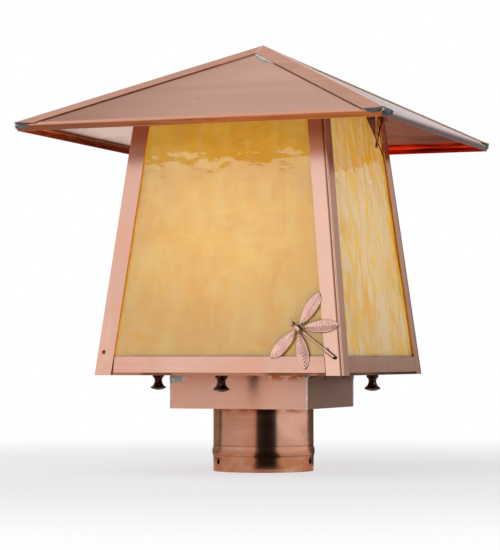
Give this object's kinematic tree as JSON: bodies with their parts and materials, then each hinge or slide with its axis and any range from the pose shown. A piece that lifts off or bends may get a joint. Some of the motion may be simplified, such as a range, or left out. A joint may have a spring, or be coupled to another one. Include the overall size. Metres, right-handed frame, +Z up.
{
  "type": "outdoor post light",
  "caption": "Square copper post lantern with tapered amber glass sides, a hipped roof that tilts open, thumb screws under the cage and a round collar that fits over a post.",
  "frame": {"origin": "middle of the collar's lower rim, on the post's axis", "axes": "+Z up along the post's axis, -Y towards the face with the ornament, +X to its right"},
  "size_m": [0.299, 0.299, 0.3452],
  "materials": {
    "copper_roof": "satin copper sheet",
    "copper_frame": "satin copper strip",
    "copper_base": "satin copper sheet",
    "copper_ornament": "pressed copper with darkened lines",
    "copper_wire": "darkened copper wire",
    "dark_bronze": "dark turned bronze",
    "amber_glass": "streaky opalescent art glass",
    "steel_hardware": "zinc plated",
    "porcelain": "white glaze",
    "lamp_brass": "rolled sheet brass",
    "lamp_glass": "frosted"
  },
  "bodies": {
    "base": {"post_collar": "copper_base", "box_walls": "copper_base", "box_floor": "copper_base", "base_plate": "copper_base", "threaded_tube": "steel_hardware", "lower_locknut": "steel_hardware", "upper_locknut": "steel_hardware", "lamp_holder": "porcelain", "screw_shell": "lamp_brass", "center_contact": "lamp_brass"},
    "head": {"bottom_rail_front": "copper_frame", "top_rail_front": "copper_frame", "glass_pane_front": "amber_glass", "bottom_rail_right": "copper_frame", "top_rail_right": "copper_frame", "glass_pane_right": "amber_glass", "bottom_rail_back": "copper_frame", "top_rail_back": "copper_frame", "glass_pane_back": "amber_glass", "bottom_rail_left": "copper_frame", "top_rail_left": "copper_frame", "glass_pane_left": "amber_glass", "corner_post_front_right": "copper_frame", "corner_post_back_right": "copper_frame", "corner_post_back_left": "copper_frame", "corner_post_front_left": "copper_frame", "glass_clips": "copper_frame", "fore_wing_upper": "copper_ornament", "fore_wing_lower": "copper_ornament", "hind_wing_upper": "copper_ornament", "hind_wing_lower": "copper_ornament", "dragonfly_body": "copper_ornament", "dragonfly_tail": "copper_ornament", "wire_tie_right": "copper_wire", "wire_tie_left": "copper_wire", "screw_nuts": "steel_hardware"},
    "roof": {"roof_panel_front": "copper_roof", "roof_panel_right": "copper_roof", "roof_panel_back": "copper_roof", "roof_panel_left": "copper_roof", "hip_cap_front_right": "copper_roof", "hip_cap_back_right": "copper_roof", "hip_cap_back_left": "copper_roof", "hip_cap_front_left": "copper_roof", "roof_lug_right": "copper_roof", "roof_lug_left": "copper_roof"},
    "lamp_foot": {"lamp_tip": "lamp_brass"},
    "lamp": {"lamp_cap": "lamp_brass", "lamp_bulb": "lamp_glass"},
    "washer_front": {"screw_washer_front": "dark_bronze"},
    "screw_front": {"thumb_screw_front": "dark_bronze"},
    "washer_right": {"screw_washer_right": "dark_bronze"},
    "screw_right": {"thumb_screw_right": "dark_bronze"},
    "washer_back": {"screw_washer_back": "dark_bronze"},
    "screw_back": {"thumb_screw_back": "dark_bronze"},
    "washer_left": {"screw_washer_left": "dark_bronze"},
    "screw_left": {"thumb_screw_left": "dark_bronze"}
  },
  "joints": [
    {"name": "head_lift", "type": "slide", "parent": "base", "child": "head", "axis": [0, 0, 1], "range_m": [0, 0.25]},
    {"name": "roof_tilt", "type": "hinge", "parent": "head", "child": "roof", "pos_m": [0, 0.07509, 0.29224], "axis": [-1, 0, 0], "range_deg": [0, 45]},
    {"name": "lamp_rise", "type": "slide", "parent": "base", "child": "lamp_foot", "axis": [0, 0, 1], "range_m": [0, 0.011]},
    {"name": "lamp_turn", "type": "hinge", "parent": "lamp_foot", "child": "lamp", "pos_m": [0, 0, 0.0981], "axis": [0, 0, 1], "range_deg": [0, 1080]},
    {"name": "screw_drop_front", "type": "slide", "parent": "base", "child": "washer_front", "axis": [0, 0, -1], "range_m": [0, 0.0048]},
    {"name": "screw_turn_front", "type": "hinge", "parent": "washer_front", "child": "screw_front", "pos_m": [0, -0.0925, 0.0775], "axis": [0, 0, -1], "range_deg": [0, 2160]},
    {"name": "screw_drop_right", "type": "slide", "parent": "base", "child": "washer_right", "axis": [0, 0, -1], "range_m": [0, 0.0048]},
    {"name": "screw_turn_right", "type": "hinge", "parent": "washer_right", "child": "screw_right", "pos_m": [0.0925, 0, 0.0775], "axis": [0, 0, -1], "range_deg": [0, 2160]},
    {"name": "screw_drop_back", "type": "slide", "parent": "base", "child": "washer_back", "axis": [0, 0, -1], "range_m": [0, 0.0048]},
    {"name": "screw_turn_back", "type": "hinge", "parent": "washer_back", "child": "screw_back", "pos_m": [0, 0.0925, 0.0775], "axis": [0, 0, -1], "range_deg": [0, 2160]},
    {"name": "screw_drop_left", "type": "slide", "parent": "base", "child": "washer_left", "axis": [0, 0, -1], "range_m": [0, 0.0048]},
    {"name": "screw_turn_left", "type": "hinge", "parent": "washer_left", "child": "screw_left", "pos_m": [-0.0925, 0, 0.0775], "axis": [0, 0, -1], "range_deg": [0, 2160]}
  ],
  "couplings": [
    {"joint": "lamp_rise", "follows": "lamp_turn", "m_per_rad": 0.00057751},
    {"joint": "screw_drop_front", "follows": "screw_turn_front", "m_per_rad": 0.00012633},
    {"joint": "screw_drop_right", "follows": "screw_turn_right", "m_per_rad": 0.00012633},
    {"joint": "screw_drop_back", "follows": "screw_turn_back", "m_per_rad": 0.00012633},
    {"joint": "screw_drop_left", "follows": "screw_turn_left", "m_per_rad": 0.00012633}
  ]
}
